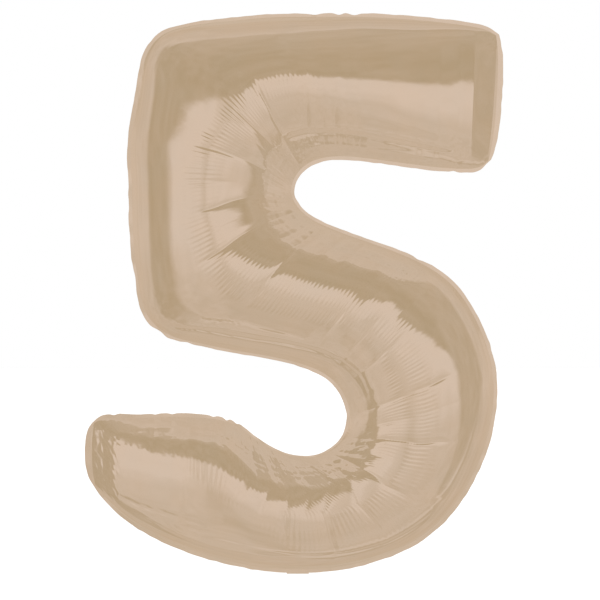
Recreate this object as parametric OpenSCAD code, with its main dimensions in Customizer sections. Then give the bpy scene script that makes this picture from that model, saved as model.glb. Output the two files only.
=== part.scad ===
// Foil number balloon, the digit 5: two film panels welded round their edge, a
// self-sealing valve clamped in the neck, and a filling tail that folds up behind.
// The origin is on the fold line of the neck, where a ribbon is tied. +Z is up,
// and the front of the digit faces -Y.

/* [Balloon] */
// Width of the inflated digit
balloon_w = 646; // [400:2:800]
// Height of the inflated digit
balloon_h = 864; // [540:2:1060]
// Depth of the inflated digit, ridge to ridge
balloon_d = 200; // [100:2:240]
// Width of the welded border
seam_w = 6; // [4:0.5:9]
// How far each end bows out past its corners
end_bow = 11; // [0:1:16]

/* [Film] */
// Thickness of the foil film
film_t = 0.4; // [0.3:0.05:0.6]

/* [Valve] */
// Width of the valve films
valve_w = 28; // [20:1:40]
// Length of the valve above the fold line
valve_len = 120; // [80:5:160]
// Thickness of one valve film
valve_t = 0.15; // [0.1:0.01:0.16]
// Length of the printed coat that keeps the valve mouth open
coat_len = 30; // [15:5:50]

/* [Tail] */
// Width of the filling tail
tail_w = 34; // [28:1:50]
// Length of the filling tail
tail_len = 62; // [40:2:80]
// Radius of the tail's two free corners
tail_corner_r = 7; // [2:1:12]
// Radius of the hole where the filling nozzle goes in
fill_hole_r = 4; // [3:0.5:6]
// Distance from the fold line to the filling hole
fill_hole_at = 46; // [30:1:50]
// Angle between the tail hanging down and the tail folded up behind
fold_angle = 105; // [90:1:108]

/* [Hidden] */

champagne = [0.80, 0.69, 0.59];
clear_film = [0.90, 0.91, 0.92];
print_grey = [0.55, 0.56, 0.58];

// Space left at the fold line, above it for the border and below it for the tail
border_gap = 1.6;
tail_gap = 1.2;
// Thickness of the release coat between the valve films
coat_t = 0.1;
// Width of the channel that the border leaves for the valve, beyond its edges
channel_gap = 0.5;
// Half depth as a share of the stroke's width, where the stroke is narrow
narrow_depth = 0.41;
// Length over which an end rises from its weld to the full depth
end_run = 92;
// Spacing of the rows along the stroke, and the angles between rows and columns
row_step = 18;
end_angle = 15;
side_angle = 18;
// Samples taken between two ribs when the stroke's length is measured
length_samples = 4;

// The stroke of the digit as ribs laid across it, from the top right end to the
// bottom left end. Each rib is [[x, z], [x, z]]: its end on the edge that lies
// right of or below the stroke at the start, then its end on the other edge. The
// sizes are those of the pattern below, and x is measured from the neck.
pattern_w = 646;
pattern_h = 864;
RIBS = [
    [[298, 635], [311, 831]], [[275, 619], [287, 845]], [[226, 619], [234, 854]],
    [[166, 626], [172, 860]], [[106, 634], [104, 864]], [[68, 637], [32, 864]],
    [[42, 635], [-38, 863]], [[23, 629], [-106, 857]], [[10, 620], [-168, 849]],
    [[2, 610], [-213, 834]], [[-3, 600], [-239, 800]], [[-5, 590], [-251, 740]],
    [[-4, 581], [-263, 667]], [[0, 573], [-262, 595]], [[7, 564], [-260, 522]],
    [[17, 555], [-253, 455]], [[31, 546], [-238, 396]], [[51, 537], [-203, 364]],
    [[79, 526], [-152, 350]], [[114, 514], [-98, 339]], [[153, 500], [-46, 330]],
    [[194, 482], [0, 319]], [[229, 460], [34, 305]], [[257, 431], [57, 286]],
    [[280, 393], [70, 264]], [[297, 352], [75, 240]], [[307, 306], [71, 219]],
    [[307, 257], [62, 204]], [[298, 207], [50, 193]], [[280, 158], [36, 185]],
    [[253, 110], [20, 181]], [[216, 68], [3, 181]], [[169, 36], [-14, 184]],
    [[114, 15], [-31, 190]], [[56, 3], [-49, 200]], [[0, 0], [-68, 213]],
    [[-56, 3], [-91, 231]], [[-108, 13], [-121, 242]], [[-156, 26], [-158, 246]],
    [[-202, 44], [-200, 247]], [[-244, 66], [-242, 245]], [[-277, 90], [-278, 246]],
    [[-303, 117], [-303, 243]], [[-317, 137], [-318, 232]],
];
last_rib = len(RIBS) - 1;

// A rib at any place t from 0 to last_rib, by a Catmull-Rom curve through them
function rib(t) =
    let (
        i = min(floor(t), last_rib - 1),
        f = t - i,
        p1 = RIBS[i],
        p2 = RIBS[i + 1],
        p0 = i > 0 ? RIBS[i - 1] : 2 * p1 - p2,
        p3 = i < last_rib - 1 ? RIBS[i + 2] : 2 * p2 - p1
    )
    0.5 * (2 * p1 + (p2 - p0) * f + (2 * p0 - 5 * p1 + 4 * p2 - p3) * f * f
        + (3 * p1 - p0 - 3 * p2 + p3) * f * f * f);

// The stroke's length up to each sample along its middle, as [length, t] pairs
function middle(t) = let (r = rib(t)) (r[0] + r[1]) / 2;
LENGTHS = [
    for (i = 0, s = 0; i <= last_rib * length_samples; i = i + 1,
        s = s + norm(middle(min(i / length_samples, last_rib))
            - middle((i - 1) / length_samples)))
    [s, i / length_samples]
];
stroke_len = LENGTHS[len(LENGTHS) - 1][0];

// Share of the end bow left at a distance s from an end
function bow(s) = pow(max(0, 1 - s / (end_run / 2)), 2);

// The point of the digit's plane at length s along the stroke and share v across it
function plane_point(s, v) =
    let (
        r = rib(lookup(s, LENGTHS)),
        side = end_bow * (1 - pow(abs(2 * v - 1), 3)),
        push = side * (bow(s) - bow(stroke_len - s)),
        p = r[0] + (r[1] - r[0]) * v
    )
    [(p[0] + push) * balloon_w / pattern_w, p[1] * balloon_h / pattern_h + border_gap];

function rib_length(s) = norm(plane_point(s, 1) - plane_point(s, 0));

// Rows along the stroke: the border, the rise at each end, and the run between.
// Each row is [length along the stroke, share of the full depth].
function end_rows(inset) = [
    for (a = [0 : end_angle : 89])
    [seam_w + inset + (end_run - inset) * (1 - cos(a)), sin(a)]
];
function rows(inset) =
    let (
        rise = end_rows(inset),
        first = seam_w + end_run,
        run = stroke_len - 2 * first,
        n = ceil(run / row_step)
    )
    concat(
        [[0, 0]], rise,
        [for (i = [0 : n]) [first + run * i / n, 1]],
        [for (i = [len(rise) - 1 : -1 : 0]) [stroke_len - rise[i][0], rise[i][1]]],
        [[stroke_len, 0]]);

// Columns across a row: the border on each side and the arch between them, each
// as [share across, share of the arch's height]
function columns(w, inset) = concat(
    [[0, 0]],
    [for (a = [0 : side_angle : 180])
        [0.5 - (0.5 - (seam_w + inset) / w) * cos(a), sin(a)]],
    [[1, 0]]);

// One face of the front film as a grid of points, depth measured towards -Y
function film_face(inset, border_y) = [
    for (row = rows(inset))
    let (
        w = rib_length(row[0]),
        high = min(narrow_depth * w, balloon_d / 2) - film_t
    )
    [for (c = columns(w, inset))
        let (p = plane_point(row[0], c[0]))
        [p[0], -border_y - high * row[1] * c[1], p[1]]]
];

// Closes two grids of the same size into one solid
module film(outer, inner) {
    n = len(outer);
    m = len(outer[0]);
    points = [for (g = [outer, inner]) for (row = g) for (p = row) p];
    edge = concat(
        [for (j = [0 : m - 2]) [0, j]],
        [for (i = [0 : n - 2]) [i, m - 1]],
        [for (j = [m - 1 : -1 : 1]) [n - 1, j]],
        [for (i = [n - 1 : -1 : 1]) [i, 0]]);
    function at(layer, i, j) = layer * n * m + i * m + j;
    faces = concat(
        [for (i = [0 : n - 2], j = [0 : m - 2])
            each [[at(0, i, j), at(0, i + 1, j), at(0, i + 1, j + 1)],
                [at(0, i, j), at(0, i + 1, j + 1), at(0, i, j + 1)]]],
        [for (i = [0 : n - 2], j = [0 : m - 2])
            each [[at(1, i, j), at(1, i + 1, j + 1), at(1, i + 1, j)],
                [at(1, i, j), at(1, i, j + 1), at(1, i + 1, j + 1)]]],
        [for (k = [0 : len(edge) - 1])
            let (a = edge[k], b = edge[(k + 1) % len(edge)])
            each [[at(0, a[0], a[1]), at(0, b[0], b[1]), at(1, b[0], b[1])],
                [at(0, a[0], a[1]), at(1, b[0], b[1]), at(1, a[0], a[1])]]]);
    polyhedron(points = points, faces = faces);
}

// The front panel, with a shallow channel in its border where the valve comes through
module panel() {
    depth = valve_t + coat_t / 2;
    difference() {
        film(film_face(0, film_t), film_face(film_t, 0));
        translate([-valve_w / 2 - channel_gap, -depth, 0])
            cube([valve_w + 2 * channel_gap, 2 * depth, border_gap + 2 * seam_w]);
    }
}

module front_panel() {
    color(champagne) panel();
}

module back_panel() {
    color(champagne) mirror([0, 1, 0]) panel();
}

// A flat strip that stands on the border's lower edge, from one depth to another
module valve_strip(length, from_y, to_y) {
    translate([-valve_w / 2, from_y, border_gap])
        cube([valve_w, to_y - from_y, length - border_gap]);
}

module valve_front_film() {
    color(clear_film) valve_strip(valve_len, -coat_t / 2 - valve_t, -coat_t / 2);
}

module valve_back_film() {
    color(clear_film) valve_strip(valve_len, coat_t / 2, coat_t / 2 + valve_t);
}

module valve_release_coat() {
    color(print_grey) valve_strip(coat_len, -coat_t / 2, coat_t / 2);
}

// The tail's outline, hanging down from the fold line
module tail_outline() {
    hull() {
        translate([-tail_w / 2, -tail_gap - 1]) square([tail_w, 1]);
        for (side = [-1, 1])
            translate([side * (tail_w / 2 - tail_corner_r), -tail_len + tail_corner_r])
                circle(tail_corner_r, $fn = 32);
    }
}

// Stands a flat outline up and folds it about the fold line, from the side of the
// tail that faces forward when it hangs
module tail_layer(from_y, to_y) {
    rotate([fold_angle, 0, 0]) translate([0, to_y, 0]) rotate([90, 0, 0])
        linear_extrude(to_y - from_y) children();
}

module tail_front_film() {
    color(champagne) tail_layer(-film_t, 0) difference() {
        tail_outline();
        translate([0, -fill_hole_at]) circle(fill_hole_r, $fn = 48);
    }
}

module tail_back_film() {
    color(champagne) tail_layer(0, film_t) tail_outline();
}

front_panel();
back_panel();
valve_front_film();
valve_back_film();
valve_release_coat();
tail_front_film();
tail_back_film();
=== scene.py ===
"""Looks of the foil number balloon, the digit 5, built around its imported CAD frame.

Each panel of film starts as the shape that even gas pressure gives a stretched skin over the
digit's outline. The film was cut flat, so it has spare length on the inside of each bend, and
that length gathers into the creases, ripples and puckers that are added to the smooth shape.
Lengths are in millimetres until a mesh is built. A point of a panel has a length s along the
stroke and a share u across the film, from the weld on rail A (0) to the weld on rail B (1).
"""

import math

import bpy
import numpy as np
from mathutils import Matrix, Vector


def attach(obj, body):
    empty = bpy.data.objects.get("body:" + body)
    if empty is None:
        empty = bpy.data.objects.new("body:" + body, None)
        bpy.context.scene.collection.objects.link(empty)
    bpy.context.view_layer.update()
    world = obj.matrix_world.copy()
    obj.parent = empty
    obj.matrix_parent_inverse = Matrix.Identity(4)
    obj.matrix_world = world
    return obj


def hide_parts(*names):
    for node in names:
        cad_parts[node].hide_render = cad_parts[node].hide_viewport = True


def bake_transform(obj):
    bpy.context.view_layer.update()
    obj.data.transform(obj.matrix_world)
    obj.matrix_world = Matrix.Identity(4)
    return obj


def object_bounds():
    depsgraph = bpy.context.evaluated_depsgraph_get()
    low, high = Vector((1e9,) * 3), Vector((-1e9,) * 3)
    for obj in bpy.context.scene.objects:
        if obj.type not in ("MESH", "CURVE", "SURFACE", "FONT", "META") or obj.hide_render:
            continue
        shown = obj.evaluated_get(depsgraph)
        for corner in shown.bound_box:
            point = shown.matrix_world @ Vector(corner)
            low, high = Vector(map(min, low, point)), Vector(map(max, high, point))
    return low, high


MM = 0.001

# The stroke of the digit as ribs laid across it, from the top right end to the bottom left
# end, as in the design: x and z of its end on rail A, then of its end on rail B.
RIBS = [
    (298, 635, 311, 831), (275, 619, 287, 845), (226, 619, 234, 854), (166, 626, 172, 860),
    (106, 634, 104, 864), (68, 637, 32, 864), (42, 635, -38, 863), (23, 629, -106, 857),
    (10, 620, -168, 849), (2, 610, -213, 834), (-3, 600, -239, 800), (-5, 590, -251, 740),
    (-4, 581, -263, 667), (0, 573, -262, 595), (7, 564, -260, 522), (17, 555, -253, 455),
    (31, 546, -238, 396), (51, 537, -203, 364), (79, 526, -152, 350), (114, 514, -98, 339),
    (153, 500, -46, 330), (194, 482, 0, 319), (229, 460, 34, 305), (257, 431, 57, 286),
    (280, 393, 70, 264), (297, 352, 75, 240), (307, 306, 71, 219), (307, 257, 62, 204),
    (298, 207, 50, 193), (280, 158, 36, 185), (253, 110, 20, 181), (216, 68, 3, 181),
    (169, 36, -14, 184), (114, 15, -31, 190), (56, 3, -49, 200), (0, 0, -68, 213),
    (-56, 3, -91, 231), (-108, 13, -121, 242), (-156, 26, -158, 246), (-202, 44, -200, 247),
    (-244, 66, -242, 245), (-277, 90, -278, 246), (-303, 117, -303, 243), (-317, 137, -318, 232),
]
BORDER_GAP = 1.6     # the border stands this far above the fold line
SEAM_W = 6.0         # width of the welded border
END_BOW = 11.0       # how far each end bows out past its corners
END_RUN = 92.0       # length over which an end rises to the full depth

DEPTH_SHARE = 0.41   # inflated depth of one panel, as a share of the stroke's width
DEPTH_CAP = 90.0     # the depth past which it grows more slowly,
DEPTH_BEYOND = 0.45  # by this share of what it would,
DEPTH_BLEND = 8.0    # and how softly that sets in

STROKE_SAMPLES = 4000  # places at which lengths along the stroke are measured
CELL = 4.0           # cell of the plane grid on which the inflated shape is worked out
OUTLINE_SAMPLES = 240  # points of the outline there, along each rail
END_SAMPLES = 12     # and across each end
ROUNDING_SAMPLES = 21  # samples taken when a table's bends are rounded
MEMBRANE_PASSES = 400  # the most passes of the solver
MEMBRANE_SETTLED = 1e-12  # what is left when it stops, as a share of a cell's push
COLUMNS = 76         # cells across a panel
ROWS = 1250          # cells along a panel

# Where along the stroke rows lie closer together, as (length, density)
ROW_DENSITY = [
    (0, 1.1), (40, 0.6), (230, 0.6), (280, 1.4), (950, 1.4), (1000, 1.1), (1100, 1.3), (1440, 1.3),
    (1500, 0.9), (1600, 0.9), (1678, 1.2),
]
# And where across the film columns do, as (share of the curved width, density)
COLUMN_DENSITY = [
    (0, 1.6), (0.08, 1.2), (0.14, 1.4), (0.22, 1.3), (0.3, 0.85), (0.7, 0.85), (0.78, 1.3),
    (0.86, 1.4), (0.92, 1.2), (1, 1.6),
]


def smooth_step(x, low, high):
    """A smooth rise from 0 at low to 1 at high."""
    t = np.clip((x - low) / (high - low), 0, 1)
    return t * t * (3 - 2 * t)


def curve_through(knots, t):
    """Points at places t on a Catmull-Rom curve through the knots."""
    last = len(knots) - 1
    i = np.clip(np.floor(t).astype(int), 0, last - 1)
    f = (t - i).reshape((-1,) + (1,) * (knots.ndim - 1))
    longer = np.concatenate([2 * knots[:1] - knots[1:2], knots, 2 * knots[-1:] - knots[-2:-1]])
    p0, p1, p2, p3 = (longer[i + k] for k in range(4))
    square = 2 * p0 - 5 * p1 + 4 * p2 - p3
    cube = 3 * p1 - p0 - 3 * p2 + p3
    return 0.5 * (2 * p1 + (p2 - p0) * f + square * f**2 + cube * f**3)


class Stroke:
    """The digit's plane, by the length s along the stroke and the share v from rail A to B."""

    def __init__(self):
        self.ribs = np.array(RIBS, float).reshape(-1, 2, 2)
        self.t = np.linspace(0, len(RIBS) - 1, STROKE_SAMPLES)
        middle = curve_through(self.ribs, self.t).mean(axis=1)
        steps = np.linalg.norm(np.diff(middle, axis=0), axis=1)
        self.lengths = np.concatenate([[0], np.cumsum(steps)])
        self.length = self.lengths[-1]

    def points(self, s, v):
        """x and z for rows at lengths s and shares v, an array of shape (rows, columns)."""
        ribs = curve_through(self.ribs, np.interp(s, self.lengths, self.t))
        a, b = ribs[:, None, 0], ribs[:, None, 1]
        p = a + (b - a) * v[..., None]
        bow, last_bow = (np.maximum(0, 1 - x / (END_RUN / 2)) ** 2 for x in (s, self.length - s))
        p[..., 0] += END_BOW * (1 - np.abs(2 * v - 1) ** 3) * (bow - last_bow)[:, None]
        p[..., 1] += BORDER_GAP
        return p

    def widths(self, s):
        """The stroke's width from edge to edge at lengths s."""
        ends = self.points(s, np.array([[0.0, 1.0]] * len(s)))
        return np.linalg.norm(ends[:, 1] - ends[:, 0], axis=1)


STROKE = Stroke()


def inside_loop(loop, x, z):
    """Which of the points x, z lie inside a closed loop of points."""
    hit = np.zeros(x.shape, bool)
    for (x0, z0), (x1, z1) in zip(loop, np.roll(loop, -1, axis=0)):
        if z0 == z1:
            continue
        crosses = (z0 > z) != (z1 > z)
        hit ^= crosses & (x < x0 + (x1 - x0) * (z - z0) / (z1 - z0))
    return hit


def bilinear(grid, i, j):
    """Values between the points of a grid, at places i, j counted in its cells."""
    i0 = np.clip(np.floor(i).astype(int), 0, grid.shape[0] - 2)
    j0 = np.clip(np.floor(j).astype(int), 0, grid.shape[1] - 2)
    f, g = i - i0, j - j0
    near = grid[i0, j0] * (1 - g) + grid[i0, j0 + 1] * g
    far = grid[i0 + 1, j0] * (1 - g) + grid[i0 + 1, j0 + 1] * g
    return near * (1 - f) + far * f


def value_noise(rng, x, y, cell_x, cell_y):
    """Smooth random values from -1 to 1 at x, y, which turn over cells of the given sizes."""
    x, y = x / cell_x, y / cell_y
    x, y = x - x.min(), y - y.min()
    lattice = rng.uniform(-1, 1, (int(x.max()) + 3, int(y.max()) + 3))
    i, j = np.floor(x), np.floor(y)
    return bilinear(lattice, i + smooth_step(x - i, 0, 1), j + smooth_step(y - j, 0, 1))


class Membrane:
    """A soap film over the digit's outline, pushed up evenly. In a straight stroke the square
    root of twice its height is a round section."""

    def __init__(self):
        s = np.linspace(SEAM_W, STROKE.length - SEAM_W, OUTLINE_SAMPLES)
        edge = SEAM_W / STROKE.widths(s)[:, None]
        sides = STROKE.points(s, np.concatenate([edge, 1 - edge], axis=1))
        across = np.linspace(0, 1, END_SAMPLES)[None, 1:-1]
        ends = STROKE.points(s[[0, -1]], np.concatenate([across, across]))
        loop = np.concatenate([sides[:, 0], ends[1], sides[::-1, 1], ends[0][::-1]])
        self.low = loop.min(axis=0) - 2 * CELL
        count = np.ceil((loop.max(axis=0) + 2 * CELL - self.low) / CELL).astype(int) + 1
        x, z = (self.low[k] + CELL * np.arange(count[k]) for k in (0, 1))
        x, z = np.meshgrid(x, z, indexing="ij")
        self.inside = inside_loop(loop, x, z).astype(float)
        self.height = self.solve()

    def stiffness(self, h):
        """How much each point of the grid stands above its four neighbours, added up."""
        total = 4 * h
        total[1:] -= h[:-1]
        total[:-1] -= h[1:]
        total[:, 1:] -= h[:, :-1]
        total[:, :-1] -= h[:, 1:]
        return total * self.inside

    def solve(self):
        """Conjugate gradients for the height whose curvature is -1 all over the inside."""
        h = np.zeros_like(self.inside)
        r = self.inside * CELL**2
        p = r.copy()
        old = (r * r).sum()
        for _ in range(MEMBRANE_PASSES):
            q = self.stiffness(p)
            step = old / (p * q).sum()
            h += step * p
            r -= step * q
            new = (r * r).sum()
            if new < MEMBRANE_SETTLED * CELL**4:
                break
            p = r + new / old * p
            old = new
        return h

    def at(self, points):
        """Its height at points of the plane."""
        i = (points[..., 0] - self.low[0]) / CELL
        j = (points[..., 1] - self.low[1]) / CELL
        return bilinear(self.height, i, j)


MEMBRANE = Membrane()


def interpolated(x, table):
    """Values at x between the rows of a table of (place, value)."""
    places, values = np.array(table, float).T
    return np.interp(x, places, values)


def rounded(x, table, reach):
    """The same, with its bends rounded over a reach either way."""
    steps = np.linspace(-1, 1, ROUNDING_SAMPLES)
    return np.mean([interpolated(x + reach * step, table) for step in steps], axis=0)


def lesser(a, b):
    """The lesser of two depths, with the change from one to the other rounded."""
    return np.minimum(a, b) - CAP_BLEND * np.log1p(np.exp(-np.abs(a - b) / CAP_BLEND))


def end_cap(from_end, table):
    """The greatest depth near an end, with only its bends past CAP_EDGE rounded."""
    reach = CAP_ROUND * smooth_step(from_end, CAP_EDGE, CAP_EDGE + CAP_ROUND)
    return rounded(from_end, table, reach)


# How far the film's ridge is off the stroke's middle, as a share of the width (above 0 towards
# rail A), and how flat the section is on either side of it, 2 for a round one
RIDGE_SHIFT = [
    (0, 0.10), (60, 0.07), (150, 0.03), (230, 0.0), (270, -0.04), (300, -0.09), (350, -0.125),
    (380, -0.10), (425, -0.04), (450, -0.02), (480, -0.05), (540, -0.07), (640, -0.07),
    (700, -0.08), (760, -0.08), (850, -0.03), (950, 0.0), (1050, 0.04), (1100, 0.09), (1150, 0.12),
    (1210, 0.10), (1260, 0.11), (1320, 0.14), (1380, 0.13), (1430, 0.10), (1470, 0.05),
    (1510, 0.07), (1560, 0.12), (1640, 0.12), (1678, 0.06),
]
FLAT_A = [
    (0, 2.1), (230, 2.0), (340, 1.9), (400, 1.5), (660, 1.5), (720, 1.8), (760, 2.0), (1450, 2.1),
    (1530, 2.4), (1678, 2.4),
]
FLAT_B = [
    (0, 2.1), (230, 2.0), (450, 2.0), (520, 1.8), (680, 1.8), (760, 2.0), (1250, 2.0), (1450, 2.3),
    (1530, 2.5), (1678, 2.5),
]
# The greatest depth at a distance from the weld of the first end and of the last end
FIRST_CAP = [
    (0, 0), (3, 6), (27, 33), (31, 37), (60, 46), (83, 51.4), (105, 57.9), (125, 63.4), (150, 70),
    (220, 84), (285, 93), (340, 130),
]
LAST_CAP = [
    (0, 0), (3, 5), (24, 25), (32, 31), (38, 34.5), (60, 42), (100, 54), (150, 74), (200, 120),
]
SECTION_ROUND = 22.0  # the ridge and the two flats change smoothly, over this length either way
CAP_EDGE = 33.0      # up to here from its weld an end keeps its sharp bends
CAP_ROUND = 26.0     # and past it they are rounded, over up to this length
CAP_BLEND = 3.5      # how softly the end's depth goes over into the stroke's
# Straight flanks beside the welds of rail A and rail B, as (length, share where the flank
# ends, how straight it is)
FLANK_A = [
    (60, 0.12, 0.0), (90, 0.13, 0.7), (370, 0.19, 0.8), (400, 0.165, 0.9), (470, 0.165, 0.9),
    (520, 0.18, 0.8), (650, 0.20, 0.8), (740, 0.20, 0.8), (880, 0.19, 0.6), (930, 0.15, 0.0),
]
FLANK_B = [
    (860, 0.14, 0.0), (900, 0.15, 0.3), (1000, 0.16, 0.35), (1048, 0.18, 0.3), (1080, 0.20, 0.3),
    (1120, 0.22, 0.8), (1200, 0.27, 0.95), (1400, 0.29, 0.95), (1460, 0.16, 0.7),
    (1630, 0.14, 0.6), (1660, 0.12, 0.0),
]
FOOT_UNEVEN = 0.09   # how unevenly those flanks end, as a share of where they end
FOOT_CELL = 13.0     # and over what length that changes
FOOT_SEED = 4
WELD_SLOPE = 2.2     # the steepest that the film rises from its weld
SHARE_STEPS = 400    # steps across a rib when the section is measured
EDGE_SHARE = 0.10    # nearer the weld than this, the section keeps a round shape
END_REACH = 12.0     # and this near to an end


def straight_flank(height, share, s, flank):
    """Blends the section beside one weld towards a straight line."""
    places, ends, amounts = np.array(flank, float).T
    rng = np.random.default_rng(FOOT_SEED)
    uneven = value_noise(rng, s, 0 * s, FOOT_CELL, 1.0)
    end = (np.interp(s, places, ends) * (1 + FOOT_UNEVEN * uneven))[:, None]
    amount = np.interp(s, places, amounts)[:, None]
    top = np.stack([np.interp(e, share[0], row) for e, row in zip(end[:, 0], height)])[:, None]
    line = top * share / end
    return np.where(share < end, height + amount * (line - height), height)


def ridge_depth(top, s):
    """How deep the ridge is at lengths s, from the highest points of the membrane there."""
    depth = 2 * DEPTH_SHARE * np.sqrt(2 * top)
    over = DEPTH_BLEND * np.log1p(np.exp((depth - DEPTH_CAP) / DEPTH_BLEND))
    depth = depth - (1 - DEPTH_BEYOND) * over
    depth = lesser(depth, end_cap(s - SEAM_W, FIRST_CAP)[:, None])
    return lesser(depth, end_cap(STROKE.length - SEAM_W - s, LAST_CAP)[:, None])


def section(s):
    """Depth across the ribs at lengths s, in SHARE_STEPS steps, and the border's share of the
    stroke's width there."""
    full = STROKE.widths(s)
    w = full - 2 * SEAM_W
    share = np.linspace(0, 1, SHARE_STEPS + 1)[None]
    tube = share * (1 - share) * w[:, None] ** 2 / 2
    held = np.clip(s, SEAM_W + END_REACH, STROKE.length - SEAM_W - END_REACH)
    u = np.clip(share, EDGE_SHARE, 1 - EDGE_SHARE)
    margin = (SEAM_W / full)[:, None]
    pushed = MEMBRANE.at(STROKE.points(held, margin + (1 - 2 * margin) * u))
    ratio = pushed / (u * (1 - u) * w[:, None] ** 2 / 2)
    shift = rounded(s, RIDGE_SHIFT, SECTION_ROUND)[:, None]
    moved = share + 4 * shift * share * (1 - share)
    height = np.stack([np.interp(m, share[0], row) for m, row in zip(moved, tube * ratio)])
    top = height.max(axis=1, keepdims=True)
    before_ridge = share < share[0, height.argmax(axis=1)][:, None]
    flat_a, flat_b = (rounded(s, table, SECTION_ROUND)[:, None] for table in (FLAT_A, FLAT_B))
    flat = np.where(before_ridge, flat_a, flat_b)
    height = (1 - (1 - np.clip(height / top, 0, 1)) ** (flat / 2)) ** (1 / flat)
    height = straight_flank(height, share, s, FLANK_A)
    height = straight_flank(height[:, ::-1], share, s, FLANK_B)[:, ::-1]
    return slope_limited(height * ridge_depth(top, s), w), margin


def slope_limited(depth, w):
    """The same sections, no steeper than WELD_SLOPE anywhere."""
    step = w[:, None] / SHARE_STEPS
    rise = np.clip(np.diff(depth, axis=1) / step, -WELD_SLOPE, WELD_SLOPE) * step
    depth = np.concatenate([np.zeros((len(w), 1)), np.cumsum(rise, axis=1)], axis=1)
    return depth - depth[:, -1:] * np.linspace(0, 1, SHARE_STEPS + 1)


class Film:
    """One smooth inflated panel inside its weld, as an array of shape (3, rows, columns)."""

    def __init__(self):
        places = np.linspace(SEAM_W, STROKE.length - SEAM_W, STROKE_SAMPLES)
        density = np.cumsum(interpolated(places, ROW_DENSITY))
        s = np.interp(np.linspace(density[0], density[-1], ROWS + 1), density, places)
        depth, margin = section(s)
        share = np.linspace(0, 1, SHARE_STEPS + 1)
        w = STROKE.widths(s) - 2 * SEAM_W
        arc = np.hypot(np.diff(share)[None] * w[:, None], np.diff(depth, axis=1))
        arc = np.concatenate([np.zeros((len(s), 1)), np.cumsum(arc, axis=1)], axis=1)
        crowd = np.cumsum(interpolated(share, COLUMN_DENSITY))
        column = np.interp(np.linspace(crowd[0], crowd[-1], COLUMNS + 1), crowd, share)
        u = np.stack([np.interp(column * row[-1], row, share) for row in arc])
        y = np.stack([np.interp(place, share, row) for place, row in zip(u, depth)])
        p = STROKE.points(s, margin + (1 - 2 * margin) * u)
        self.s, self.u = s, u
        self.target = np.stack([p[..., 0], y, p[..., 1]])
        self.free = np.pad(np.ones((ROWS - 1, COLUMNS - 1)), 1)  # 0 on the weld
        self.target[1] *= self.free
        # Distances over the film from the two welds and from the nearer end
        self.from_a = column[None] * arc[:, -1:]
        self.from_b = (1 - column[None]) * arc[:, -1:]
        self.from_end = np.minimum(s - SEAM_W, STROKE.length - SEAM_W - s)[:, None] + 0 * u


# The lie of the creases: (length, how far along the stroke a crease runs for one share across
# it on rail A's side of the middle, and the same on rail B's)
CREASE_LIE = [
    (240, -60, -40), (290, -100, -60), (366, -45, -40), (420, 17, 10), (497, 50, 30), (587, 80, 40),
    (650, 75, 45), (740, 85, 80), (866, 60, 55), (915, 50, 50), (960, 20, 25), (1043, 0, -20),
    (1126, -15, -65), (1206, -24, -95), (1258, -42, -165), (1312, -65, -230), (1368, -85, -170),
    (1410, -90, -160), (1460, -40, -80), (1500, 0, 0),
]
# Main creases: length at the stroke's middle, share where it starts and ends, and depth
CREASES = [
    (243, 0.10, 0.52, 0.9), (262, 0.06, 0.46, 0.8), (290, 0.06, 0.55, 1.4), (302, 0.10, 0.40, 0.7),
    (366, 0.02, 0.54, 2.0), (420, 0.05, 0.44, 0.9), (445, 0.10, 0.30, 0.6), (497, 0.03, 0.56, 1.8),
    (549, 0.36, 0.54, 0.8), (587, 0.02, 0.60, 1.8), (603, 0.08, 0.26, 0.6), (651, 0.03, 0.63, 2.3),
    (739, 0.04, 0.66, 2.0), (866, 0.50, 0.90, 0.9), (915, 0.50, 0.94, 1.0), (960, 0.44, 0.94, 1.5),
    (1043, 0.30, 0.94, 2.0), (1085, 0.66, 0.95, 0.7), (1126, 0.26, 0.95, 2.2), (1165, 0.62, 0.95, 0.7),
    (1206, 0.18, 0.95, 2.3), (1258, 0.18, 0.92, 1.9), (1312, 0.10, 0.92, 2.2), (1339, 0.48, 0.80, 1.2),
    (1368, 0.28, 0.88, 1.6), (1404, 0.44, 0.88, 1.4), (1440, 0.52, 0.90, 1.2), (1462, 0.66, 0.95, 0.6),
]
CREASE_REACH = 8.5   # how quickly a crease's broad walls level off
FOLD_REACH = 2.6     # and its sharp fold
FOLD_SHARE = 0.38    # the sharp fold's share of the depth
CREASE_WANDER = 1.5  # how far a crease strays from its line,
CREASE_BENDS = 12    # between this many places across the film
CREASE_START = (-0.04, 0.10)  # it sets in over these shares about its start
CREASE_END = (-0.12, 0.03)  # and fades out over these about its end
# Short pleats from the weld of rail B: (length, share where it ends, depth)
PLEATS = [
    (1478, 0.80, 0.5), (1495, 0.76, 0.7), (1521, 0.86, 0.4), (1548, 0.78, 0.8), (1575, 0.76, 0.8),
    (1606, 0.84, 0.4),
]
PLEAT_REACH = 6.0
PLEAT_END = (-0.05, 0.04)
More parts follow.
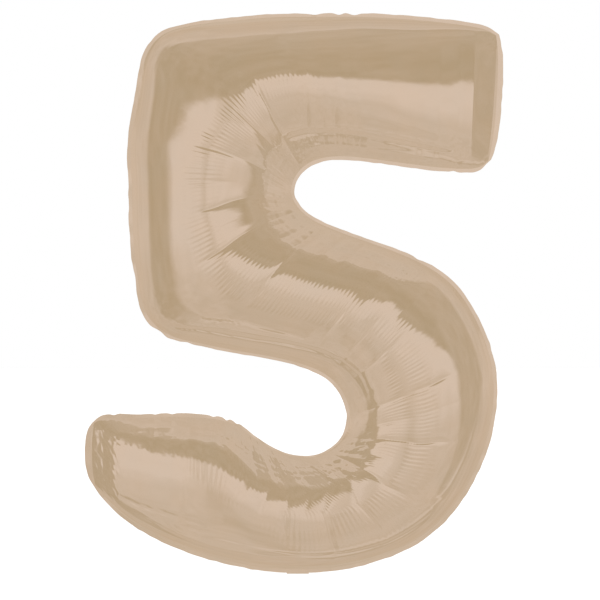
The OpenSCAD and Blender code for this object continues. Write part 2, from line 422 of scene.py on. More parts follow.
# Long shallow folds along the stroke: places as (length, share), height and reach. A height
# below 0 makes a valley.
LINES = [
    (((700, 0.95), (730, 0.90), (850, 0.87), (1000, 0.86)), -2.0, 3.2),
    (((716, 0.80), (745, 0.77), (770, 0.76), (860, 0.79)), 2.6, 3.4),
    (((706, 0.90), (760, 0.84), (900, 0.83)), 1.8, 3.0),
    (((740, 0.945), (800, 0.93), (940, 0.935)), -0.7, 2.5),
    (((70, 0.12), (150, 0.15), (370, 0.205)), 3.0, 3.6),
    (((70, 0.09), (150, 0.11), (370, 0.16)), -2.0, 3.2),
    (((90, 0.20), (200, 0.26), (250, 0.28)), 0.5, 2.6),
    (((90, 0.05), (200, 0.06), (340, 0.08)), 1.4, 3.0),
    (((735, 0.20), (860, 0.19)), 0.9, 3.0),
    (((655, 0.235), (735, 0.20)), 0.9, 3.0),
    (((740, 0.13), (880, 0.12)), -1.0, 3.0),
    (((285, 0.945), (330, 0.93), (380, 0.93), (430, 0.94)), 0.6, 2.0),
    (((1225, 0.12), (1340, 0.14), (1440, 0.17), (1490, 0.16)), -1.3, 3.0),
    (((1500, 0.27), (1560, 0.25), (1625, 0.21)), -2.4, 2.8),
    (((1400, 0.13), (1470, 0.12), (1530, 0.13), (1590, 0.17)), 1.9, 2.6),
    (((1380, 0.09), (1470, 0.085), (1560, 0.11)), -0.9, 2.6),
    (((1150, 0.76), (1240, 0.72), (1400, 0.72), (1455, 0.86)), 0.8, 2.5),
]
LINE_FADE = 18.0     # length over which a long fold's ends fade out
# Ripples between the main creases: (length, shares between which they lie)
RIPPLES = [
    (270, 0.34, 0.52), (290, 0.34, 0.53), (330, 0.34, 0.53), (360, 0.34, 0.52), (385, 0.28, 0.47),
    (430, 0.28, 0.47), (460, 0.30, 0.50), (497, 0.34, 0.57), (530, 0.44, 0.64), (590, 0.46, 0.65),
    (650, 0.40, 0.62), (690, 0.34, 0.60), (740, 0.36, 0.64), (800, 0.38, 0.65), (900, 0.38, 0.61),
    (960, 0.40, 0.70), (1040, 0.42, 0.76), (1126, 0.40, 0.72), (1206, 0.20, 0.66), (1260, 0.14, 0.60),
    (1320, 0.14, 0.60), (1380, 0.26, 0.66), (1440, 0.46, 0.70), (1470, 0.50, 0.68), (1520, 0.62, 0.74),
]
RIPPLE_LENGTH = 6.2
RIPPLE_HEIGHT = 0.21
RIPPLE_COUNT = 800   # more ripples than the stroke has room for
RIPPLE_SPREAD = (0.8, 0.4)  # their strength on average, and how much it changes
RIPPLE_GROUP = 0.45  # how quickly it does, in changes a ripple
RIPPLE_RAGGED = (0.035, 0.02)  # how unevenly they end towards rail A and rail B
RIPPLE_FADES = ((-0.05, 0.10), (-0.015, 0.015))  # the shares over which they fade there
RIPPLE_STRETCH = (272, 1640, 16)  # where along the stroke they start and end, and how softly
RIPPLE_WOBBLE = (2.2, 0.35)  # how uneven their spacing is, and how quickly that changes
RIPPLE_DRIFT = (0.8, 40.0, 0.12)  # how much they bend, and over what length and share
# Puckers at the welds of rail A and rail B: (length, height)
PUCKERS_A = [
    (0, 0.5), (60, 0.9), (300, 0.4), (420, 0.7), (650, 0.7), (740, 0.4), (900, 0.6), (1000, 0.2),
    (1678, 0.3),
]
PUCKERS_B = [
    (0, 0.2), (190, 0.4), (250, 0.7), (340, 0.2), (630, 0.4), (720, 0.8), (900, 0.4), (1100, 0.8),
    (1678, 0.7),
]
PUCKERS_END = 0.5    # and at the welds of the two ends
PUCKER_LENGTH = 5.0  # distance along the weld over which a pucker turns
PUCKER_BEND = 30.0   # distance from the weld over which it changes
PUCKER_REACH = 9.0   # how far from the weld it lasts
# Short ticks across the foot of each straight flank
TICK_HEIGHT = 0.7
TICK_SINK = 0.3      # how much more of them is below the film than above it
TICK_LENGTH = 4.5
TICK_REACH = 4.0
# A comb of such ticks along a line elsewhere, through places as (length, share)
COMB = ((1510, 0.735), (1570, 0.73), (1650, 0.74))
COMB_HEIGHT = 0.32
# Streaks that run along the stroke on the straight flanks: height, and size along and across
STREAK = (0.30, 70.0, 5.0)
STREAK_LEAST = 0.2   # how much of them is left where a flank is round
STREAK_END = (-0.03, 0.05)  # the shares about a flank's end over which they fade
# Slow waves all over the film, and a finer unevenness
WAVES = ((0.35, 95.0, 60.0), (0.05, 17.0, 13.0))
# Crumpled places: (length, share across, reach along, reach across in shares, height)
CRUMPLES = [
    (48, 0.10, 13, 0.07, 2.2), (66, 0.20, 9, 0.05, 1.0), (890, 0.09, 14, 0.05, 1.6),
    (700, 0.90, 30, 0.05, 0.8), (745, 0.80, 26, 0.04, 0.6), (1202, 0.16, 16, 0.04, 0.7),
    (1452, 0.92, 16, 0.05, 1.2), (1640, 0.22, 12, 0.06, 1.4), (1655, 0.55, 10, 0.30, 2.0),
    (1636, 0.55, 9, 0.35, 1.3), (250, 0.96, 20, 0.03, 0.8), (300, 0.24, 40, 0.05, 0.25),
    (560, 0.06, 20, 0.04, 0.5), (330, 0.10, 26, 0.06, 1.1), (380, 0.08, 24, 0.06, 1.1),
    (245, 0.12, 26, 0.05, 0.7), (450, 0.08, 30, 0.05, 0.8), (1120, 0.84, 40, 0.05, 0.8),
    (1230, 0.84, 50, 0.06, 0.9), (1340, 0.84, 40, 0.06, 0.9), (1420, 0.88, 20, 0.06, 1.0),
]
CRUMPLE_CELL = 7.0
CRUMPLE_SINK = 0.4   # how far the flat parts between a crumple's folds are below the film
WELD_FADE = (-0.5, 5.0)  # all of this fades out over these distances from the weld
LIE_STEPS = 8        # steps that find the crease line through a point


def between(x, low, high, soft):
    """1 between low and high and 0 beyond them, with soft steps."""
    return smooth_step(x, low - soft, low + soft) * (1 - smooth_step(x, high - soft, high + soft))


def sets_in(u, place, about):
    """A smooth rise from 0 to 1, over the shares about a place."""
    return smooth_step(u, place + about[0], place + about[1])


def along_line(film, points, reach):
    """1 on a line through points as (length, share), less away from it and past its ends."""
    across = STROKE.widths(film.s)[:, None]
    gap = np.abs(film.u - interpolated(film.s, points)[:, None]) * across
    fade = between(film.s, points[0][0], points[-1][0], LINE_FADE)[:, None]
    return fade * np.exp(-gap / reach)


def crease_places(film):
    """Where the crease line through each point of the film crosses the stroke's middle."""
    lie = np.array(CREASE_LIE, float)
    place = np.repeat(film.s[:, None], COLUMNS + 1, axis=1)
    off = film.u - 0.5
    for _ in range(LIE_STEPS):
        below, above = (np.interp(place, lie[:, 0], lie[:, k]) for k in (1, 2))
        place = film.s[:, None] - off * np.where(off < 0, below, above)
    return place


def creases(film, place, scale, rng):
    """The main creases, the long folds and the pleats, as height above the smooth film."""
    u = film.u
    relief = np.zeros_like(u)
    for middle, start, end, depth in CREASES:
        bends = rng.uniform(-1, 1, CREASE_BENDS)
        wander = CREASE_WANDER * np.interp(u, np.linspace(0, 1, CREASE_BENDS), bends)
        gap = np.abs(place - middle - wander) * scale
        fade = sets_in(u, start, CREASE_START) * (1 - sets_in(u, end, CREASE_END))
        walls = (1 - FOLD_SHARE) * np.exp(-gap / CREASE_REACH)
        fold = FOLD_SHARE * np.exp(-gap / FOLD_REACH)
        relief -= depth * fade * (walls + fold)
    for points, height, reach in LINES:
        relief += height * along_line(film, points, reach)
    for middle, end, depth in PLEATS:
        gap = np.abs(film.s[:, None] - middle) * scale
        relief -= depth * sets_in(u, end, PLEAT_END) * np.exp(-gap / PLEAT_REACH)
    return relief


def by_ripple(rng, which):
    """A random value from -1 to 1 for each ripple, changing evenly between them."""
    return np.interp(which, np.arange(RIPPLE_COUNT), rng.uniform(-1, 1, RIPPLE_COUNT))


def ripples(film, place, rng):
    """The fine ripples between the creases."""
    u = film.u
    places, lows, highs = np.array(RIPPLES, float).T
    which = place / RIPPLE_LENGTH
    low = np.interp(place, places, lows) - RIPPLE_RAGGED[0] * by_ripple(rng, which)
    high = np.interp(place, places, highs) - RIPPLE_RAGGED[1] * by_ripple(rng, which)
    mean, change = RIPPLE_SPREAD
    strength = mean + change * by_ripple(rng, which * RIPPLE_GROUP)
    zone = sets_in(u, low, RIPPLE_FADES[0]) * (1 - sets_in(u, high, RIPPLE_FADES[1]))
    zone = zone * between(place, *RIPPLE_STRETCH)
    amount, group = RIPPLE_WOBBLE
    wobble = amount * by_ripple(rng, which * group)
    amount, *cell = RIPPLE_DRIFT
    drift = amount * value_noise(rng, film.s[:, None] + 0 * u, u, *cell)
    return RIPPLE_HEIGHT * zone * strength * np.sin(2 * np.pi * which + wobble + drift)


def flank_relief(film, side, along, scale, rng):
    """The ticks, streaks and puckers on the flank beside one weld."""
    distance, share, flank, puckers = side
    places, ends, amounts = np.array(flank, float).T
    end = np.interp(along, places, ends)
    amount = np.interp(along, places, amounts)
    turn = value_noise(rng, along * scale, 0 * share, TICK_LENGTH, 1.0)
    gap = np.abs(share - end) * STROKE.widths(film.s)[:, None]
    ticks = TICK_HEIGHT * amount * (turn - TICK_SINK) * np.exp(-gap / TICK_REACH)
    height, *cell = STREAK
    turn = value_noise(rng, along, distance, *cell)
    kept = STREAK_LEAST + (1 - STREAK_LEAST) * amount
    streaks = height * turn * kept * (1 - sets_in(share, end, STREAK_END))
    turn = value_noise(rng, along * scale, distance, PUCKER_LENGTH, PUCKER_BEND)
    return ticks + streaks + interpolated(along, puckers) * turn * np.exp(-distance / PUCKER_REACH)


def scattered_relief(film, along, scale, rng):
    """The puckers at the two ends, the slow waves, the crumpled places and the comb."""
    turn = value_noise(rng, (film.from_a - film.from_b) / 2, along, PUCKER_LENGTH, PUCKER_BEND)
    relief = PUCKERS_END * turn * np.exp(-film.from_end / PUCKER_REACH)
    for height, *cell in WAVES:
        relief += height * value_noise(rng, along, film.from_a, *cell)
    for s, share, reach, reach_across, height in CRUMPLES:
        window = np.exp(-(((along - s) / reach) ** 2) - ((film.u - share) / reach_across) ** 2)
        noise = value_noise(rng, along, film.from_a, CRUMPLE_CELL, CRUMPLE_CELL)
        relief += height * window * (np.abs(noise) - CRUMPLE_SINK)
    turn = value_noise(rng, along * scale, 0 * along, TICK_LENGTH, 1.0)
    return relief + COMB_HEIGHT * turn * along_line(film, COMB, TICK_REACH)


def crease_relief(film, rng):
    """Height above the smooth film of everything that the spare film does."""
    place = crease_places(film)
    along = film.s[:, None] + 0 * film.u
    scale = np.sqrt((np.gradient(film.target, film.s, axis=1) ** 2).sum(0))
    relief = creases(film, place, scale, rng) + ripples(film, place, rng)
    side_a = (film.from_a, film.u, FLANK_A, PUCKERS_A)
    side_b = (film.from_b, 1 - film.u, FLANK_B, PUCKERS_B)
    for side in (side_a, side_b):
        relief += flank_relief(film, side, along, scale, rng)
    relief += scattered_relief(film, along, scale, rng)
    edge = np.minimum(np.minimum(film.from_a, film.from_b), film.from_end)
    return relief * smooth_step(edge, *WELD_FADE) * film.free


def panel_points(film, seed):
    """The finished film of one panel inside its weld, depth measured outwards."""
    p = film.target
    normals = np.cross(np.gradient(p, axis=1), np.gradient(p, axis=2), axis=0)
    normals *= np.sign(normals[1].sum())
    normals /= np.sqrt((normals**2).sum(0)) + 1e-9
    p = p + normals * crease_relief(film, np.random.default_rng(seed))
    np.maximum(p[1], 0, out=p[1])
    return p


def grid_quads(rows, columns):
    """The faces of a grid of points with this many cells along and across."""
    i, j = np.meshgrid(np.arange(rows), np.arange(columns), indexing="ij")
    row = columns + 1
    corner = (i * row + j).ravel()
    return np.stack([corner, corner + row, corner + row + 1, corner + 1], axis=1)


def add_mesh(name, vertices, faces, sharp=()):
    """A smooth-shaded mesh object from vertices in millimetres. sharp lists vertex pairs."""
    mesh = bpy.data.meshes.new(name)
    mesh.from_pydata((vertices * MM).tolist(), [], faces)
    mesh.shade_smooth()
    if len(sharp):
        index = {tuple(sorted(edge.vertices)): edge.index for edge in mesh.edges}
        flags = np.zeros(len(mesh.edges), bool)
        flags[[index[tuple(sorted(pair))] for pair in sharp]] = True
        mesh.attributes.new("sharp_edge", "BOOLEAN", "EDGE").data.foreach_set("value", flags)
    made = bpy.data.objects.new(name, mesh)
    bpy.context.scene.collection.objects.link(made)
    return made


FLANGE_LIFT = 0.3    # half the thickness of the border
EDGE_SEED = 5
EDGE_RAGGED = 0.6    # how unevenly the border is cut
EDGE_INWARD = 0.6    # and how much more that pulls it in than out
EDGE_CELL = 11.0     # over what length it changes
EDGE_WAVE = 0.25     # how far the border waves out of its plane
EDGE_WAVE_CELL = 1.4 * EDGE_CELL
NECK_REACH = 26.0    # within this of the neck the border stays straight
# Notches in the border: (length, 0 on rail A or 1 on rail B, depth, reach)
NOTCHES = [
    (214, 1, 3.0, 7), (232, 1, 2.5, 5), (262, 1, 2.0, 8), (8, 0, 2.5, 5), (60, 0, 2.0, 6),
    (640, 1, 2.0, 8), (700, 1, 2.5, 7), (735, 1, 2.0, 6), (884, 0, 2.0, 7), (1430, 1, 2.5, 6),
    (1452, 1, 3.0, 5), (1478, 1, 2.0, 6), (1548, 1, 1.5, 5), (1575, 1, 1.5, 5), (1640, 1, 2.0, 6),
]


def panel_edge(film):
    """Grid points round the film's edge, the border's outer edge beside each, and its wave."""
    across = np.arange(1, COLUMNS)
    rows = np.arange(ROWS + 1)
    i = np.concatenate([rows, 0 * across + ROWS, rows[::-1], 0 * across])
    j = np.concatenate([0 * rows, across, 0 * rows + COLUMNS, across[::-1]])
    s = film.s.copy()
    s[0], s[-1] = 0, STROKE.length
    outer = STROKE.points(s, np.linspace(0, 1, COLUMNS + 1)[None])[i, j]
    inner = film.target[:, i, j][[0, 2]].T
    way = outer - inner
    way /= np.linalg.norm(way, axis=1, keepdims=True)
    rng = np.random.default_rng(EDGE_SEED)
    travel = np.concatenate([[0], np.cumsum(np.linalg.norm(np.diff(outer, axis=0), axis=1))])
    still = smooth_step(np.hypot(outer[:, 0], outer[:, 1]), NECK_REACH, 2 * NECK_REACH)
    pull = EDGE_RAGGED * (value_noise(rng, travel, 0 * travel, EDGE_CELL, 1.0) - EDGE_INWARD)
    for place, rail, depth, reach in NOTCHES:
        near = np.exp(-(((film.s[i] - place) / reach) ** 2))
        pull -= depth * near * (j == rail * COLUMNS)
    wave = EDGE_WAVE * value_noise(rng, travel, 0 * travel, EDGE_WAVE_CELL, 1.0)
    return i * (COLUMNS + 1) + j, outer + way * (pull * still)[:, None], wave * still


def build_panel(name, film, p, towards):
    """A panel with its welded border. towards is -1 for the front and 1 for the back."""
    grid = np.moveaxis(p, 0, -1).reshape(-1, 3)
    grid[:, 1] = towards * (grid[:, 1] + FLANGE_LIFT)
    loop, ring, wave = panel_edge(film)
    edge = np.stack([ring[:, 0], towards * FLANGE_LIFT + wave, ring[:, 1]], axis=1)
    first, n = len(grid), len(loop)
    k = np.arange(n)
    after = (k + 1) % n
    border = np.stack([loop, first + k, first + after, loop[after]], axis=1)
    faces = np.concatenate([grid_quads(ROWS, COLUMNS), border])
    if towards > 0:
        faces = faces[:, ::-1]
    sharp = np.stack([loop, loop[after]], axis=1).tolist()
    return add_mesh(name, np.concatenate([grid, edge]), faces.tolist(), sharp)


# The filling tail: sizes as in the design, and the fold at the neck
TAIL_WIDTH = 34.0
TAIL_LENGTH = 62.0
TAIL_CORNER = 7.0
FILL_HOLE_RADIUS = 4.0
FILL_HOLE_AT = 46.0
FOLD_ANGLE = math.radians(105)
FOLD_RADIUS = 0.9
FOLD_ROWS = (-1.5, 1.5, 25)  # the fine rows over the fold: from, to, and how many
TAIL_CELL = 0.8
TAIL_SEAL = 3.0      # width of the sealed edges
TAIL_PUFF = 0.9      # how far each film stands off the middle between them,
TAIL_PUFF_START = (2, 18)  # from these distances past the fold line on
TAIL_LIFT = 0.6 * FLANGE_LIFT  # and how far it stands off everywhere
TAIL_LAP = 2.0       # how far the tail's films lap over the border,
LAP_ROWS = 4         # in this many rows
HOLE_SNAP = 0.55     # within this share of a cell, points move onto the hole's edge
HOLE_EDGE = 1e-3     # and within this length they lie on it
TAIL_SEED = 9
# Bends of both films together: height, and size along and across
TAIL_BENDS = ((0.5, 21.0, 12.0), (0.2, 9.0, 3.5))
TAIL_BENDS_START = (3, 20)
# The crinkle at the fold: height, size along and across, its reach, and the lift it works on
TAIL_CRINKLE = (0.12, 3.0, 6.0)
TAIL_CRINKLE_REACH = 12.0
TAIL_CRINKLE_LIFT = 0.1
TAIL_CRINKLE_START = (0, 4)


def tail_outline_half_width(a):
    """Half the tail's width at a distance a from the fold line."""
    past = np.clip(a - (TAIL_LENGTH - TAIL_CORNER), 0, TAIL_CORNER)
    return TAIL_WIDTH / 2 - TAIL_CORNER + np.sqrt(TAIL_CORNER**2 - past**2)


def tail_points(a, b, off):
    """Points of the tail at distances a past the fold line, b across it and off its middle."""
    reach = FOLD_RADIUS * math.tan(FOLD_ANGLE / 2)
    arc = FOLD_RADIUS * FOLD_ANGLE
    turn = np.clip((a + reach) / arc, 0, 1) * FOLD_ANGLE
    straight_on = np.maximum(a + reach - arc, 0)
    before = np.minimum(a + reach, 0)
    y = FOLD_RADIUS * (1 - np.cos(turn)) + straight_on * np.sin(turn)
    z = reach - FOLD_RADIUS * np.sin(turn) - straight_on * np.cos(turn) - before
    return np.stack([b, y - off * np.cos(turn), z - off * np.sin(turn)], axis=-1)


def tail_rows():
    """How far past the fold line each row of the tail lies."""
    start, end, count = FOLD_ROWS
    lap = np.linspace(-BORDER_GAP - TAIL_LAP, start, LAP_ROWS)[:-1]
    rest = np.linspace(end, TAIL_LENGTH, int(TAIL_LENGTH / TAIL_CELL))[1:]
    return np.concatenate([lap, np.linspace(start, end, count), rest])


def round_hole(a, b):
    """Moves the points next to the filling hole onto its edge."""
    from_hole = np.hypot(a - FILL_HOLE_AT, b)
    near = np.abs(from_hole - FILL_HOLE_RADIUS) < TAIL_CELL * HOLE_SNAP
    grow = np.where(near, FILL_HOLE_RADIUS / np.maximum(from_hole, 1e-6), 1)
    return FILL_HOLE_AT + (a - FILL_HOLE_AT) * grow, b * grow


def tail_relief(a, b, towards):
    """How far one film of the tail stands off the middle between the two."""
    rng = np.random.default_rng(TAIL_SEED)
    edge = np.minimum(TAIL_WIDTH / 2 - np.abs(b), TAIL_LENGTH - a) - TAIL_SEAL
    puff = np.sqrt(np.clip(edge / (TAIL_WIDTH / 2 - TAIL_SEAL), 0, 1))
    bends = sum(height * value_noise(rng, a, b, *cell) for height, *cell in TAIL_BENDS)
    height, *cell = TAIL_CRINKLE
    crinkle = height * value_noise(rng, a, b, *cell) * np.exp(-np.abs(a) / TAIL_CRINKLE_REACH)
    off = TAIL_LIFT + TAIL_PUFF * puff * smooth_step(a, *TAIL_PUFF_START)
    off += TAIL_CRINKLE_LIFT * (crinkle + 1) * smooth_step(a, *TAIL_CRINKLE_START)
    return bends * smooth_step(a, *TAIL_BENDS_START) - towards * off


def build_tail(name, towards):
    """One film of the tail, with the filling hole if it is the front one."""
    rows = tail_rows()
    columns = int(TAIL_WIDTH / TAIL_CELL)
    a, share = np.meshgrid(rows, np.linspace(-1, 1, columns + 1), indexing="ij")
    b = share * tail_outline_half_width(a)
    quads = grid_quads(len(rows) - 1, columns)
    if towards < 0:
        a, b = round_hole(a, b)
        inside = (np.hypot(a - FILL_HOLE_AT, b) < FILL_HOLE_RADIUS + HOLE_EDGE).ravel()
        quads = quads[~inside[quads].all(axis=1)]
    else:
        quads = quads[:, ::-1]
    p = tail_points(a.ravel(), b.ravel(), tail_relief(a, b, towards).ravel())
    used, quads = np.unique(quads, return_inverse=True)
    return add_mesh(name, p[used], quads.reshape(-1, 4).tolist())


NOISE_MIDDLE = (0.3, 0.7)  # most values of a noise texture lie between these


class Value:
    """An output of a shader node. Sums and products of such values are further nodes."""

    def __init__(self, graph, socket):
        self.graph = graph
        self.socket = socket

    def __add__(self, other):
        return self.graph.math("ADD", self, other)

    def __sub__(self, other):
        return self.graph.math("SUBTRACT", self, other)

    def __rsub__(self, other):
        return self.graph.math("SUBTRACT", other, self)

    def __mul__(self, other):
        return self.graph.math("MULTIPLY", self, other)

    def __truediv__(self, other):
        return self.graph.math("DIVIDE", self, other)


class Graph:
    """The shader nodes of a material or world. Inputs are constants or Values."""

    def __init__(self, owner):
        owner.use_nodes = True
        self.nodes, self.links = owner.node_tree.nodes, owner.node_tree.links

    def put(self, node, inputs):
        """Sets or wires a node's inputs, by name or place."""
        for socket, value in inputs.items():
            if isinstance(value, Value):
                self.links.new(value.socket, node.inputs[socket])
            else:
                node.inputs[socket].default_value = value

    def add(self, kind, inputs, output=0, **settings):
        """One output of a new node."""
        node = self.nodes.new("ShaderNode" + kind)
        for name, value in settings.items():
            setattr(node, name, value)
        self.put(node, inputs)
        return Value(self, node.outputs[output])

    def math(self, operation, *values):
        return self.add("Math", dict(enumerate(values)), operation=operation)

    def mix(self, factor, a, b):
        """From a to b by a factor. Both are numbers, or both are fixed colours."""
        if isinstance(b, tuple):
            return self.add("Mix", {0: factor, 6: a, 7: b}, output=2, data_type="RGBA")
        return self.add("Mix", {0: factor, 2: a, 3: b}, data_type="FLOAT")

    def grain(self, scale, detail, coordinate="Object"):
        """Noise through the object, or over another coordinate."""
        place = self.add("TexCoord", {}, output=coordinate)
        return self.add("TexNoise", {"Vector": place, "Scale": scale, "Detail": detail})

    def spread(self, factor, low, high):
        """Maps a noise's middle values to a range from low to high."""
        start, end = NOISE_MIDDLE
        inputs = {"Value": factor, "From Min": start, "From Max": end, "To Min": low, "To Max": high}
        return self.add("MapRange", inputs)

    def bump(self, height, distance, strength, **before):
        """Normals bent by a height. Normal=... is another bump to start from."""
        inputs = {"Height": height, "Distance": distance, "Strength": strength}
        return self.add("Bump", inputs | before)

    def profile(self, angle, stops):
        """A level by an angle, from a list of (degrees, level)."""
        low, high = stops[0][0], stops[-1][0]
        factor = (angle - math.radians(low)) / math.radians(high - low)
        ramp = self.nodes.new("ShaderNodeValToRGB")
        self.put(ramp, {0: factor})
        elements = ramp.color_ramp.elements
        places = [(degrees - low) / (high - low) for degrees, _ in stops]
        for place in places[1:-1]:
            elements.new(place)
        for element, place, (_, level) in zip(elements, places, stops):
            element.position = place
            element.color = (level, level, level, 1)
        return Value(self, ramp.outputs[0])


FOIL_WARM = (0.680, 0.534, 0.420, 1)
FOIL_COOL = (0.664, 0.532, 0.426, 1)
FOIL = {"Metallic": 1.0, "Specular Tint": (0.86, 0.78, 0.70, 1)}
VALVE_FILM = {"Base Color": (0.88, 0.89, 0.90, 1), "Transmission Weight": 0.6, "IOR": 1.45}
COAT_DARK = (0.42, 0.43, 0.45, 1)
COAT_PALE = (0.48, 0.49, 0.51, 1)


def new_material(name, inputs):
    """A material, its graph and its shader, with some of the shader's inputs set."""
    made = bpy.data.materials.new(name)
    graph = Graph(made)
    shader = graph.nodes["Principled BSDF"]
    graph.put(shader, inputs)
    return made, graph, shader


def foil_material():
    """Bright champagne film: metal with slow changes of tint and gloss, and a fine unevenness."""
    made, graph, shader = new_material("champagne_foil", FOIL)
    tint = graph.spread(graph.grain(scale=22.0, detail=3.0), low=0.0, high=1.0)
    gloss = graph.spread(graph.grain(scale=60.0, detail=4.0), low=0.05, high=0.10)
    slow = graph.bump(graph.grain(scale=90.0, detail=2.0), distance=0.0004, strength=0.10)
    fine = graph.grain(scale=700.0, detail=2.0)
    fine = graph.bump(fine, distance=0.0001, strength=0.05, Normal=slow)
    colour = graph.mix(tint, FOIL_WARM, FOIL_COOL)
    graph.put(shader, {"Base Color": colour, "Roughness": gloss, "Normal": fine})
    return made


def valve_material():
    """Clear soft film, slightly milky, with a fine unevenness."""
    made, graph, shader = new_material("valve_film", VALVE_FILM)
    gloss = graph.spread(graph.grain(scale=120.0, detail=3.0), low=0.15, high=0.35)
    fine = graph.bump(graph.grain(scale=500.0, detail=2.0), distance=0.0001, strength=0.2)
    graph.put(shader, {"Roughness": gloss, "Normal": fine})
    return made


def coat_material():
    """Matt printed coat, slightly speckled."""
    made, graph, shader = new_material("release_coat", {"Roughness": 0.8})
    tint = graph.spread(graph.grain(scale=1500.0, detail=2.0), low=0.0, high=1.0)
    fine = graph.bump(graph.grain(scale=2000.0, detail=2.0), distance=0.00005, strength=0.3)
    graph.put(shader, {"Base Color": graph.mix(tint, COAT_DARK, COAT_PALE), "Normal": fine})
    return made


# Brightness of the studio, from 0 for its dark gaps to 1 for its windows, as (degrees, level).
# It goes from behind (-180) through below (-90), the front (0) and above (90) back to behind.
STUDIO_ROUND = [
    (-180, 0.80), (-172, 0.70), (-150, 0.56), (-122, 0.58), (-112, 0.45), (-104, 0.55),
    (-98, 0.30), (-90, 0.24), (-85, 0.75), (-78, 0.80), (-71, 0.56), (-52, 0.64), (-36, 0.54),
    (-16, 0.66), (-8, 0.70), (-3, 0.86), (3, 1.00), (17, 1.00), (20, 0.08), (36, 0.06),
    (52, 0.14), (70, 0.26), (88, 0.34), (92, 0.78), (98, 0.66), (152, 0.62), (180, 0.80),
]
# What is straight behind instead, with a gap and a window, and how much of that is seen by the
# angle from the front (0) round either side to the back (180)
BEHIND = [
    (-180, 0.80), (-150, 0.56), (90, 0.60), (148, 0.62), (153, 0.16), (162, 0.10), (166, 1),
    (177, 1), (180, 0.80),
]
BEHIND_SIDE = [(0, 0), (132, 0), (160, 1), (180, 1)]
# How much of a dark flag stands on the right and on the left by that same angle, and how much
# of it is left by the angle from below (-90) through level to above (90)
FLAG_RIGHT = [(0, 0), (46, 0), (52, 1), (92, 1), (102, 0), (180, 0)]
FLAG_LEFT = [
    (0, 0), (56, 0), (64, 1), (92, 1), (97, 0), (158, 0), (162, 1), (168, 1), (171, 0), (180, 0),
]
FLAG_HEIGHT = [(-90, 0), (-64, 0), (-44, 1), (50, 1), (64, 0), (90, 0)]
RIGHT_LEVEL = 0.24
LEFT_LEVEL = 0.12
FLAG_LEAN = 0.3      # how much later the right flag starts for each degree below level
FAR_RIGHT = 60.0     # past this angle the right flag stands higher up,
FAR_RISE = 1.3       # by this much for each degree
LEFT_LIFT = 0.5      # how much the left of the studio counts as its front
LEFT_DROP = 0.10     # and as higher up
# A dimmer upright bar in front: how much it takes, its angle from the front (below 0 on the
# left), and its half width
BAR_SHARE = 0.30
BAR_AT = -10.0
BAR_WIDTH = 7.0
CLUTTER = 0.46       # how uneven the studio is, and how finely
CLUTTER_SCALE = 8.0
STUDIO_DARK = (0.66, 0.61, 0.47, 1)
STUDIO_BRIGHT = (0.98, 0.96, 0.93, 1)


def studio_walls(graph, x, front, side, z):
    """The studio's walls, its windows and the gaps round them, as a level."""
    to_left = graph.math("MAXIMUM", x * -1.0, 0.0) * graph.math("GREATER_THAN", front, 0.0)
    ahead = front + to_left * LEFT_LIFT
    up = graph.math("ARCTAN2", z + to_left * LEFT_DROP, ahead)
    behind = graph.profile(side, BEHIND_SIDE)
    level = graph.mix(behind, graph.profile(up, STUDIO_ROUND), graph.profile(up, BEHIND))
    off_bar = graph.math("ARCTAN2", x, front) - math.radians(BAR_AT)
    off_bar = off_bar / math.radians(BAR_WIDTH)
    bar = graph.math("EXPONENT", graph.math("POWER", off_bar, 2.0) * -1.0)
    return level * (1.0 - bar * BAR_SHARE)


def studio_flags(graph, level, x, side, turn):
    """The level with the two dark flags added to it."""
    on_right = graph.math("GREATER_THAN", x, 0.0)
    lean = graph.math("MINIMUM", turn, 0.0) * FLAG_LEAN
    far = graph.math("MAXIMUM", side - math.radians(FAR_RIGHT), 0.0)
    right = graph.profile(side + lean, FLAG_RIGHT) * on_right
    right = right * graph.profile(turn - far * FAR_RISE, FLAG_HEIGHT)
    left = graph.profile(side, FLAG_LEFT) * (1.0 - on_right)
    left = left * graph.profile(turn, FLAG_HEIGHT)
    return graph.mix(left, graph.mix(right, level, RIGHT_LEVEL), LEFT_LEVEL)


def studio_level(graph):
    """How bright the studio is by direction."""
    split = graph.nodes.new("ShaderNodeSeparateXYZ")
    graph.put(split, {0: graph.add("TexCoord", {}, output="Generated")})
    x, y, z = (Value(graph, output) for output in split.outputs)
    front = y * -1.0
    sideways = graph.math("ABSOLUTE", x)
    side = graph.math("ARCTAN2", sideways, front)
    level = studio_walls(graph, x, front, side, z)
    level = studio_flags(graph, level, x, side, graph.math("ARCTAN2", z, sideways))
    clutter = graph.grain(CLUTTER_SCALE, detail=2.0, coordinate="Generated")
    return level + (clutter - 0.5) * CLUTTER


def studio_world():
    """A made-up studio that only mirrored rays see: all others see plain white."""
    world = bpy.data.worlds.new("studio")
    bpy.context.scene.world = world
    graph = Graph(world)
    graph.nodes.clear()
    colour = graph.mix(studio_level(graph), STUDIO_DARK, STUDIO_BRIGHT)
    plain = graph.add("Background", {"Color": (1, 1, 1, 1)})
    mirrored = graph.add("Background", {"Color": colour})
    is_mirrored = graph.add("LightPath", {}, output="Is Glossy Ray")
    seen = graph.add("MixShader", {0: is_mirrored, 1: plain, 2: mirrored})
    graph.put(graph.nodes.new("ShaderNodeOutputWorld"), {"Surface": seen})


CAMERA_LENS = 86.0
CAMERA_SENSOR = 36.0
CAMERA_VIEW = 0.926  # width in metres of what it sees at the balloon's middle
CAMERA_OFFSET = (0.009, -0.0102)  # from the middle of the balloon's box, across and up


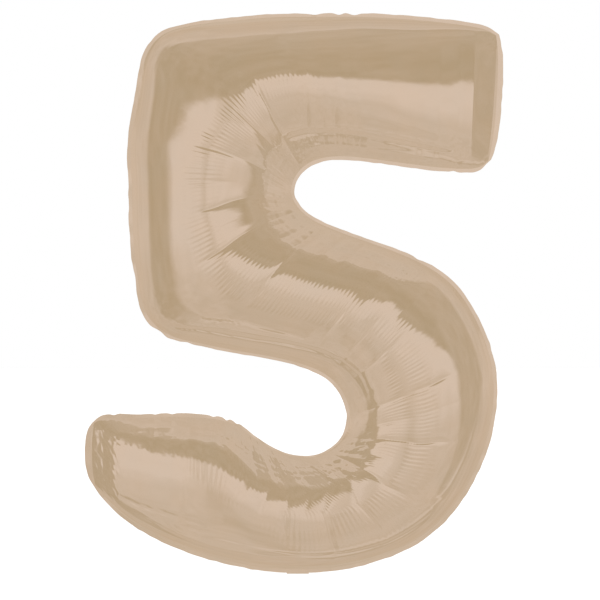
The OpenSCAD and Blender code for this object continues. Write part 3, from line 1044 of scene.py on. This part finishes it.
def studio_camera(box):
    """The camera stands straight in front of the digit."""
    middle = (np.array(box[0]) + np.array(box[1])) / 2
    data = bpy.data.cameras.new("camera")
    data.lens = CAMERA_LENS
    data.sensor_width = CAMERA_SENSOR
    camera = bpy.data.objects.new("camera", data)
    bpy.context.scene.collection.objects.link(camera)
    distance = CAMERA_VIEW * CAMERA_LENS / CAMERA_SENSOR
    camera.location = (middle[0] + CAMERA_OFFSET[0], -distance, middle[2] + CAMERA_OFFSET[1])
    camera.rotation_euler = (math.radians(90), 0, 0)
    bpy.context.scene.camera = camera


FLOOR_HALF = 9000.0  # half the length of its sides
FLOOR_LEVEL = -120.0
FLOOR_PAINT = {"Base Color": (0.93, 0.93, 0.93, 1), "Roughness": 0.9}
LAMP_ANGLE = math.radians(60)
LAMP_ENERGY = 0.9
LAMP_ABOVE = 1.0     # metres above the balloon


def studio_floor():
    """A white floor, which the foil doesn't mirror."""
    corners = [[x, y, FLOOR_LEVEL] for x, y in ((-1, -1), (1, -1), (1, 1), (-1, 1))]
    made = add_mesh("floor", np.array(corners) * [FLOOR_HALF, FLOOR_HALF, 1], [[0, 1, 2, 3]])
    made.data.materials.append(new_material("floor_paint", FLOOR_PAINT)[0])
    made.visible_glossy = False


def studio_lamp(box):
    """An even light from above, for the floor. The foil mirrors the studio instead."""
    data = bpy.data.lights.new("lamp", "SUN")
    data.angle = LAMP_ANGLE
    data.energy = LAMP_ENERGY
    lamp = bpy.data.objects.new("lamp", data)
    bpy.context.scene.collection.objects.link(lamp)
    lamp.location = (0, 0, box[1][2] + LAMP_ABOVE)
    lamp.visible_glossy = False


PANELS = (("front", -1, 1), ("back", 1, 2))  # side, its direction along Y, random seed


def foil_pieces(foil):
    """The two panels and the two films of the tail."""
    film = Film()
    for side, towards, seed in PANELS:
        panel = build_panel("foil_" + side, film, panel_points(film, seed), towards)
        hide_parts(side + "_panel")
        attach(panel, "balloon")
        tail = build_tail("tail_" + side, towards)
        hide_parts("tail_" + side + "_film")
        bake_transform(tail)
        for piece in (panel, tail):
            piece.data.materials.append(foil)
            piece.visible_glossy = False


def valve_finish():
    """Materials for the valve, which shows only through the neck."""
    clear, coat = valve_material(), coat_material()
    paints = {"valve_front_film": clear, "valve_back_film": clear, "valve_release_coat": coat}
    for node, paint in paints.items():
        part = bpy.data.objects[node]
        part.visible_glossy = False
        for slot in part.material_slots:
            slot.material = paint


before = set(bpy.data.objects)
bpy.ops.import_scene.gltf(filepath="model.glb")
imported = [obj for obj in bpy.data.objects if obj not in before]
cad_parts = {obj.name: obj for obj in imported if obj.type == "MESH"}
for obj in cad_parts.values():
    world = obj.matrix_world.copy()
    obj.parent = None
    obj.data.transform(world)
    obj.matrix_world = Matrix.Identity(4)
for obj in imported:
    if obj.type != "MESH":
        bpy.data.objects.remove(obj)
cad_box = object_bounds()
valve_finish()
foil_pieces(foil_material())
studio_world()
studio_camera(cad_box)
studio_floor()
studio_lamp(cad_box)
bpy.context.scene.view_settings.view_transform = "Standard"
